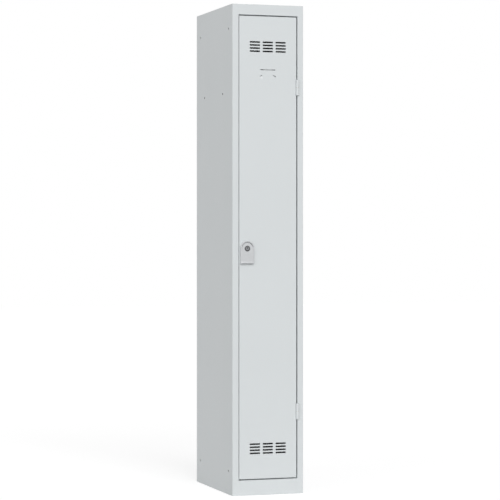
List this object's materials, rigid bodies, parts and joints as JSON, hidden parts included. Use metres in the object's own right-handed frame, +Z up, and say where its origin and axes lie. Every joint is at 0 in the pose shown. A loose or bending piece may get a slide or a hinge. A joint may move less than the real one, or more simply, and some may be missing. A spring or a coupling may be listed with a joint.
{
  "type": "metal locker",
  "caption": "Tall narrow steel locker with one vented, inset door on barrel hinges, a cylinder lock in a pull plate, a hat shelf and a coat rail.",
  "frame": {"origin": "on the floor, at the centre of the carcass footprint", "axes": "+X to the right of someone facing the door, the door faces -Y, +Z up"},
  "size_m": [0.3036, 0.512, 1.97],
  "materials": {
    "light_grey_paint": "satin powder coat",
    "grip_plastic": "fine-grained moulded",
    "lock_nickel": "dark satin nickel plate",
    "zinc_steel": "zinc plate",
    "rail_chrome": "polished",
    "hook_plastic": "moulded",
    "buffer_rubber": "matt",
    "hinge_brass": "turned"
  },
  "bodies": {
    "carcass": {"left_side_panel": "light_grey_paint", "right_side_panel": "light_grey_paint", "back_panel": "light_grey_paint", "top_panel": "light_grey_paint", "base_panel": "light_grey_paint", "hat_shelf": "light_grey_paint", "shelf_rivets": "zinc_steel", "coat_rail": "rail_chrome", "left_rail_bracket": "zinc_steel", "right_rail_bracket": "zinc_steel", "strike_plate": "zinc_steel", "door_buffers": "buffer_rubber", "upper_hinge_frame_knuckle": "light_grey_paint", "upper_hinge_pin": "zinc_steel", "upper_hinge_washer": "hinge_brass", "lower_hinge_frame_knuckle": "light_grey_paint", "lower_hinge_pin": "zinc_steel", "lower_hinge_washer": "hinge_brass"},
    "door": {"door_panel": "light_grey_paint", "door_stiffener": "light_grey_paint", "handle_grip": "grip_plastic", "lock_body": "lock_nickel", "lock_washer": "zinc_steel", "lock_nut": "zinc_steel", "upper_hinge_door_knuckle": "light_grey_paint", "lower_hinge_door_knuckle": "light_grey_paint"},
    "lock_core": {"lock_plug": "lock_nickel", "lock_cam": "zinc_steel", "cam_screw": "zinc_steel"},
    "left_hook": {"left_coat_hook": "hook_plastic"},
    "right_hook": {"right_coat_hook": "hook_plastic"}
  },
  "joints": [
    {"name": "door_hinge", "type": "hinge", "parent": "carcass", "child": "door", "pos_m": [0.1249, -0.252, 0.985], "axis": [0, 0, 1], "range_deg": [0, 165]},
    {"name": "lock_turn", "type": "hinge", "parent": "door", "child": "lock_core", "pos_m": [-0.0892, -0.2578, 0.99], "axis": [0, 1, 0], "range_deg": [0, 90]},
    {"name": "left_hook_slide", "type": "slide", "parent": "carcass", "child": "left_hook", "axis": [1, 0, 0], "range_m": [-0.06, 0.03]},
    {"name": "right_hook_slide", "type": "slide", "parent": "carcass", "child": "right_hook", "axis": [1, 0, 0], "range_m": [-0.03, 0.06]}
  ]
}
